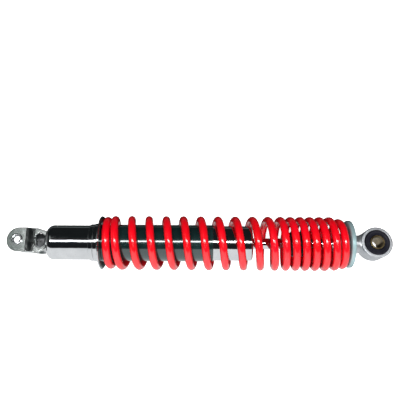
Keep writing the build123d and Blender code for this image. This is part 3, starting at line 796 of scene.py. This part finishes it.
def build_neck():
    """Loft from the round neck to the full width of the barrel, ending inside its wall."""
    around = 64
    bm = bmesh.new()
    rings = []
    stations = 26
    for i in range(stations + 1):
        share = i / stations
        x = NECK_X + (NECK_END_X - NECK_X) * share
        foot = max(0.0, 1.0 - (x - NECK_X) / FOOT_LENGTH)
        grow = min(max((x - FLARE_X) / (NECK_END_X - FLARE_X), 0.0), 1.0)
        half_y = NECK_R + FOOT_RISE * foot**2 + (FLARE_HALF_WIDTH - NECK_R) * grow**1.5
        half_z = NECK_R + FOOT_RISE * foot**2 - FLARE_THINNING * grow
        power = ROUND_POWER + (FLARE_POWER - ROUND_POWER) * grow
        ring = []
        for k in range(around):
            a = 2 * math.pi * k / around
            c, s = math.cos(a), math.sin(a)
            y = half_y * math.copysign(abs(c) ** (2 / power), c)
            z = half_z * math.copysign(abs(s) ** (2 / power), s)
            ring.append(bm.verts.new((x * MM, y * MM, z * MM)))
        rings.append(ring)
    for one, two in zip(rings, rings[1:]):
        for k in range(around):
            m = (k + 1) % around
            bm.faces.new((one[k], one[m], two[m], two[k]))
    bm.faces.new(rings[0])
    bm.faces.new(rings[-1])
    return finish_mesh("eye_neck", bm, MAT["eye"], 50)


eye = build_eye()
hand_in(eye, ROD, ["eye"])
neck = build_neck()
hand_in(neck, ROD, [])

bush = lathe(
    "rubber_bush",
    [
        (6.65, -9.5),
        (7.7, -10.2, 0.4),
        (8.6, -9.75, 0.3),
        (9.5, -10.1, 0.4),
        (10.6, -10.2, 0.5),
        (11.62, -9.0),
        (11.62, 9.0),
        (10.6, 10.2, 0.5),
        (9.5, 10.1, 0.4),
        (8.6, 9.75, 0.3),
        (7.7, 10.2, 0.4),
        (6.65, 9.5),
    ],
    MAT["rubber"],
    axis="Z",
)
hand_in(bush, ROD, ["eye_rubber_bush"])

# The sleeve's dark colour is partly painted shade for its bore
inner_sleeve = lathe(
    "steel_sleeve",
    [
        (5.1, -10.5, 0.3),
        (6.6, -10.5, 0.35),
        (6.6, 10.5, 0.35),
        (5.1, 10.5, 0.3),
    ],
    MAT["yellow"],
    axis="Z",
)
hand_in(inner_sleeve, SLEEVE, ["eye_sleeve"])

# CAD nodes that nothing stands for, all inside the tube, still show
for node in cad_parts.values():
    if not node.hide_render:
        node.data.materials.clear()
        node.data.materials.append(MAT["steel"])


# ---------------------------------------------------------------- stage, light and camera


def plane(name, centre, right, up, material):
    """A staged flat surface spanned by two half vectors, in metres."""
    centre, right, up = Vector(centre), Vector(right), Vector(up)
    mesh = bpy.data.meshes.new(name)
    corners = [centre - right - up, centre + right - up, centre + right + up, centre - right + up]
    mesh.from_pydata(corners, [], [(0, 1, 2, 3)])
    mesh.materials.append(material)
    obj = bpy.data.objects.new(name, mesh)
    bpy.context.scene.collection.objects.link(obj)
    return obj


def card_material(name, colour, strength):
    material = bpy.data.materials.new(name)
    material.use_nodes = True
    nodes = material.node_tree.nodes
    nodes.clear()
    emission = nodes.new("ShaderNodeEmission")
    emission.inputs["Color"].default_value = (*colour, 1.0)
    emission.inputs["Strength"].default_value = strength
    output = nodes.new("ShaderNodeOutputMaterial")
    material.node_tree.links.new(emission.outputs[0], output.inputs["Surface"])
    return material


AXIS_X = 0.165
FLOOR_Z = -0.0256
FLOOR_HALF = 1.6
floor = plane("floor", (AXIS_X, 0, FLOOR_Z), (FLOOR_HALF, 0, 0), (0, FLOOR_HALF, 0), paper_floor())
floor.visible_glossy = False
floor.visible_diffuse = False

world = bpy.data.worlds.new("studio")
bpy.context.scene.world = world
world.use_nodes = True
background = world.node_tree.nodes["Background"]
background.inputs["Color"].default_value = (1.0, 1.0, 1.0, 1.0)

# The camera sees a pale backdrop, while the room's own light stays low
ROOM_LIGHT = 0.14
BACKDROP_LIGHT = 0.95
ray = world.node_tree.nodes.new("ShaderNodeLightPath")
backdrop = world.node_tree.nodes.new("ShaderNodeMapRange")
backdrop.inputs["To Min"].default_value = ROOM_LIGHT
backdrop.inputs["To Max"].default_value = BACKDROP_LIGHT
world.node_tree.links.new(ray.outputs["Is Camera Ray"], backdrop.inputs["Value"])
world.node_tree.links.new(backdrop.outputs["Result"], background.inputs["Strength"])


def direction(tilt):
    """Unit vector in the YZ plane, tilt degrees from straight up towards the viewer's side (-Y)."""
    a = math.radians(tilt)
    return Vector((0, -math.sin(a), math.cos(a)))


CARD_DISTANCE = 0.9
DEGREES_PER_STRIP = 8


def card(name, tilts, reach, colour, strength):
    """A glossy-only card bent round the shock's axis: its range of tilts, and of X in metres."""
    steps = max(1, round(abs(tilts[1] - tilts[0]) / DEGREES_PER_STRIP))
    mesh = bpy.data.meshes.new(name)
    vertices, faces = [], []
    for k in range(steps + 1):
        d = direction(tilts[0] + (tilts[1] - tilts[0]) * k / steps) * CARD_DISTANCE
        vertices += [(reach[0], d.y, d.z), (reach[1], d.y, d.z)]
        if k:
            faces.append((2 * k - 2, 2 * k - 1, 2 * k + 1, 2 * k))
    mesh.from_pydata(vertices, [], faces)
    mesh.materials.append(card_material(name, colour, strength))
    obj = bpy.data.objects.new(name, mesh)
    bpy.context.scene.collection.objects.link(obj)
    obj.visible_camera = False
    obj.visible_diffuse = False
    obj.visible_shadow = False
    obj.visible_transmission = False
    obj.visible_volume_scatter = False
    return obj


# Each card's tilts, reach along X, colour and strength. Cards end a hair apart along X.
WIDE = (-1.5, 1.8)
GAP = 0.001
DARK = 0.012
LEFT_EDGE = -0.262
CHEEK_EDGE = -0.306
TIP_EDGE = -0.56
card("dark_far", (-106, -6.5), (LEFT_EDGE, WIDE[1]), (0.8, 0.95, 1.0), DARK)
card("cheek_light", (-24, -4), (CHEEK_EDGE, LEFT_EDGE - GAP), (1.0, 1.0, 1.0), 1.5)
card("ear_grey", (-34, 6), (TIP_EDGE, CHEEK_EDGE - GAP), (0.84, 1.0, 0.93), 0.20)
card("dark_left", (-106, -34.5), (WIDE[0], LEFT_EDGE - GAP), (0.8, 0.95, 1.0), DARK)
card("dark_tip", (-34, 8.7), (WIDE[0], TIP_EDGE - GAP), (0.8, 0.95, 1.0), DARK)
card("thin_grey", (-118, -107), WIDE, (0.9, 1.0, 1.0), 0.12)
card("dark_back", (-172, -118.5), WIDE, (0.8, 0.95, 1.0), DARK)
card("light_strip", (-1.5, 5.5), (LEFT_EDGE, 0.62), (1.0, 1.0, 1.0), 12.0)
card("dark_near", (9.2, 49), WIDE, (0.8, 0.9, 1.0), DARK)
card("pale_below", (49.5, 186), WIDE, (0.98, 0.99, 1.0), 0.8)


LIGHT_SIZE = (1.2, 0.5)


def area(name, place, energy):
    """A soft light aimed at the middle of the shock, left out of reflections."""
    light = bpy.data.lights.new(name, "AREA")
    light.shape = "RECTANGLE"
    light.size, light.size_y = LIGHT_SIZE
    light.energy = energy
    obj = bpy.data.objects.new(name, light)
    obj.location = place
    obj.rotation_euler = (Vector((AXIS_X, 0, 0)) - Vector(place)).to_track_quat("-Z", "Y").to_euler()
    bpy.context.scene.collection.objects.link(obj)
    obj.visible_glossy = False
    obj.visible_camera = False
    return obj


area("overhead", (AXIS_X, -0.22, 1.0), 17.0)
area("near_side", (AXIS_X, -0.9, 0.1), 7.0)

# Camera: held above the shock and a little to the near side
CAMERA_PLACE = Vector((168.9, -97.6, 459.7)) * MM
CAMERA_TURN = math.radians(-0.239)
CAMERA_PITCH = math.radians(16.933)
CAMERA_ROLL = math.radians(0.387)
camera_data = bpy.data.cameras.new("camera")
camera_data.sensor_width = 36.0
camera_data.lens = 45.0
camera_data.clip_start = 0.01
camera = bpy.data.objects.new("camera", camera_data)
look = Vector(
    (
        math.sin(CAMERA_TURN),
        math.sin(CAMERA_PITCH) * math.cos(CAMERA_TURN),
        -math.cos(CAMERA_PITCH) * math.cos(CAMERA_TURN),
    )
)
across = look.cross(Vector((-math.sin(CAMERA_ROLL), math.cos(CAMERA_ROLL), 0))).normalized()
over = across.cross(look)
camera.matrix_world = Matrix.Translation(CAMERA_PLACE) @ Matrix((across, over, -look)).transposed().to_4x4()
bpy.context.scene.collection.objects.link(camera)
bpy.context.scene.camera = camera
bpy.context.scene.view_settings.view_transform = "Standard"
